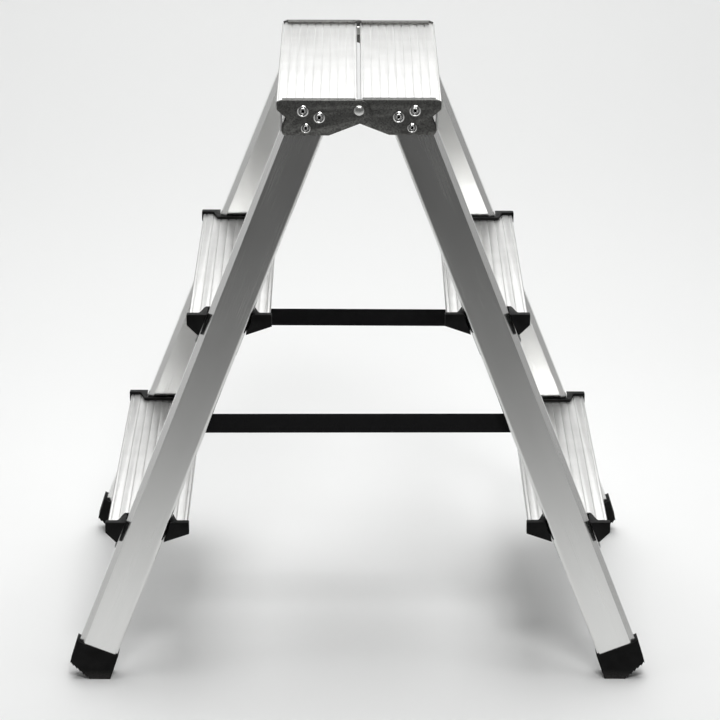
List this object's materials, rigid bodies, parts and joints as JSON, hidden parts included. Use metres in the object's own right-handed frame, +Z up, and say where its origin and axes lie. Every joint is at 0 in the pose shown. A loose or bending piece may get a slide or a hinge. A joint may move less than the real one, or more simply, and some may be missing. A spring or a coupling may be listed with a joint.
{
  "type": "step ladder",
  "caption": "Double-sided folding step ladder with ribbed treads, riveted hinge plates, plastic end caps, rubber feet and webbing straps that stop the sides spreading.",
  "frame": {"origin": "on the floor, in the middle of the four feet", "axes": "+X across the fold, away from the left half; +Y along the hinge line; +Z up"},
  "size_m": [0.7138, 0.4986, 0.73],
  "materials": {
    "stile_aluminium": "extruded aluminium with fine lengthwise lines, satin",
    "tread_aluminium": "ribbed extruded aluminium, pale satin",
    "hinge_steel": "dark mottled galvanised sheet steel",
    "pin_steel": "bright zinc-plated",
    "rivet_steel": "bright zinc-plated",
    "bracket_steel": "dull galvanised",
    "cap_plastic": "black moulded plastic with a fine grain",
    "foot_rubber": "black moulded rubber",
    "strap_webbing": "black woven webbing"
  },
  "bodies": {
    "left_half": {"left_stile_near": "stile_aluminium", "left_stile_far": "stile_aluminium", "left_platform": "tread_aluminium", "left_tread_low": "tread_aluminium", "left_tread_high": "tread_aluminium", "left_plate_near": "hinge_steel", "left_plate_far": "hinge_steel", "left_cap_low_near": "cap_plastic", "left_cap_low_far": "cap_plastic", "left_cap_high_near": "cap_plastic", "left_cap_high_far": "cap_plastic", "left_bracket_low_near": "bracket_steel", "left_bracket_low_far": "bracket_steel", "left_bracket_high_near": "bracket_steel", "left_bracket_high_far": "bracket_steel", "left_foot_near": "foot_rubber", "left_foot_far": "foot_rubber", "left_plate_rivets": "rivet_steel", "left_step_rivets": "rivet_steel", "left_strap_rivets": "rivet_steel", "pin_near": "pin_steel", "pin_far": "pin_steel", "strap_near": "strap_webbing", "strap_far": "strap_webbing"},
    "right_half": {"right_stile_near": "stile_aluminium", "right_stile_far": "stile_aluminium", "right_platform": "tread_aluminium", "right_tread_low": "tread_aluminium", "right_tread_high": "tread_aluminium", "right_plate_near": "hinge_steel", "right_plate_far": "hinge_steel", "right_cap_low_near": "cap_plastic", "right_cap_low_far": "cap_plastic", "right_cap_high_near": "cap_plastic", "right_cap_high_far": "cap_plastic", "right_bracket_low_near": "bracket_steel", "right_bracket_low_far": "bracket_steel", "right_bracket_high_near": "bracket_steel", "right_bracket_high_far": "bracket_steel", "right_foot_near": "foot_rubber", "right_foot_far": "foot_rubber", "right_plate_rivets": "rivet_steel", "right_step_rivets": "rivet_steel", "right_strap_rivets": "rivet_steel"}
  },
  "joints": [
    {"name": "fold", "type": "hinge", "parent": "left_half", "child": "right_half", "pos_m": [0, 0, 0.7177], "axis": [0, 1, 0], "range_deg": [0, 41], "deforming": ["strap_near", "strap_far"]}
  ]
}
